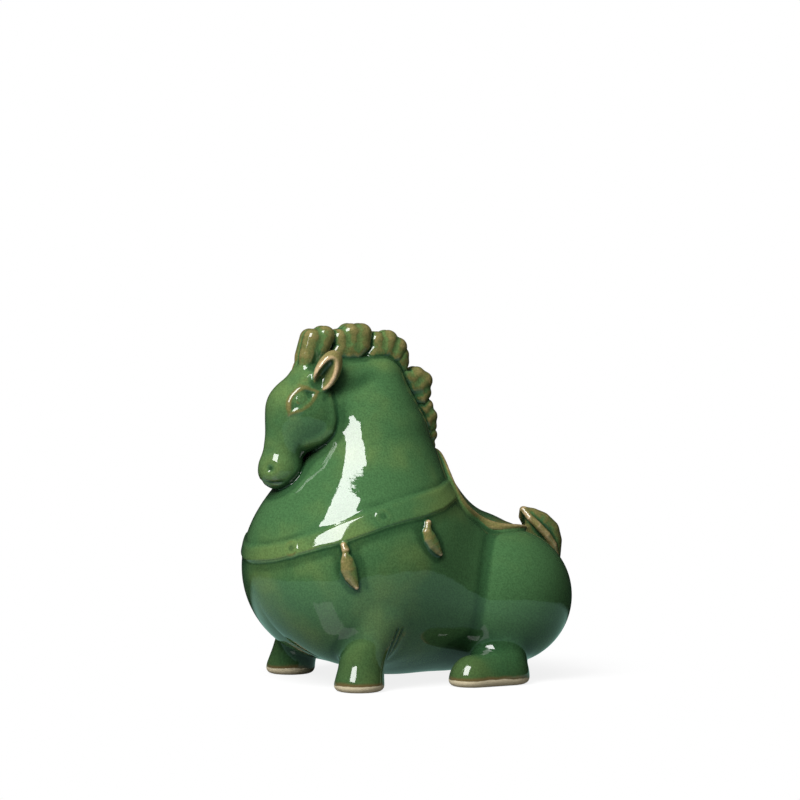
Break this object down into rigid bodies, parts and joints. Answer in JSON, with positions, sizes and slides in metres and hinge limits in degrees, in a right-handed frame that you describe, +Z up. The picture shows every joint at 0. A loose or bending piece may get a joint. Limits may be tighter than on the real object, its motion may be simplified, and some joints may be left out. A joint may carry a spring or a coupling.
{
  "type": "glazed ceramic horse figurine",
  "caption": "Plump horse figurine with bowed head, wavy mane, tasselled breast strap, saddle cloth and curled tail, in glossy green-glazed ceramic on stub legs.",
  "frame": {"origin": "on the ground, under the middle of the object's length and width", "axes": "+Z up, -Y towards the horse's nose and chest, +X towards the horse's left side"},
  "size_m": [0.0929, 0.1389, 0.1437],
  "materials": {
    "green_glaze": "glossy translucent green glaze over buff clay",
    "brown_glaze": "glossy green glaze thinned to brown on raised pieces"
  },
  "bodies": {
    "root": {"body_shell": "green_glaze", "neck_shell": "green_glaze", "head_shell": "green_glaze", "left_fore_leg": "green_glaze", "right_fore_leg": "green_glaze", "left_hind_leg": "green_glaze", "right_hind_leg": "green_glaze", "breast_strap": "green_glaze", "saddle": "green_glaze", "tail": "green_glaze", "forelock": "green_glaze", "mane_lock_1": "green_glaze", "mane_lock_2": "green_glaze", "mane_lock_3": "green_glaze", "mane_lock_4": "green_glaze", "mane_lock_5": "green_glaze", "mane_lock_6": "green_glaze", "left_eye": "green_glaze", "right_eye": "green_glaze", "left_front_stud": "green_glaze", "left_rear_stud": "green_glaze", "right_front_stud": "green_glaze", "right_rear_stud": "green_glaze", "left_ear": "brown_glaze", "right_ear": "brown_glaze", "left_front_tassel": "brown_glaze", "left_rear_tassel": "brown_glaze", "right_front_tassel": "brown_glaze", "right_rear_tassel": "brown_glaze"}
  },
  "joints": []
}
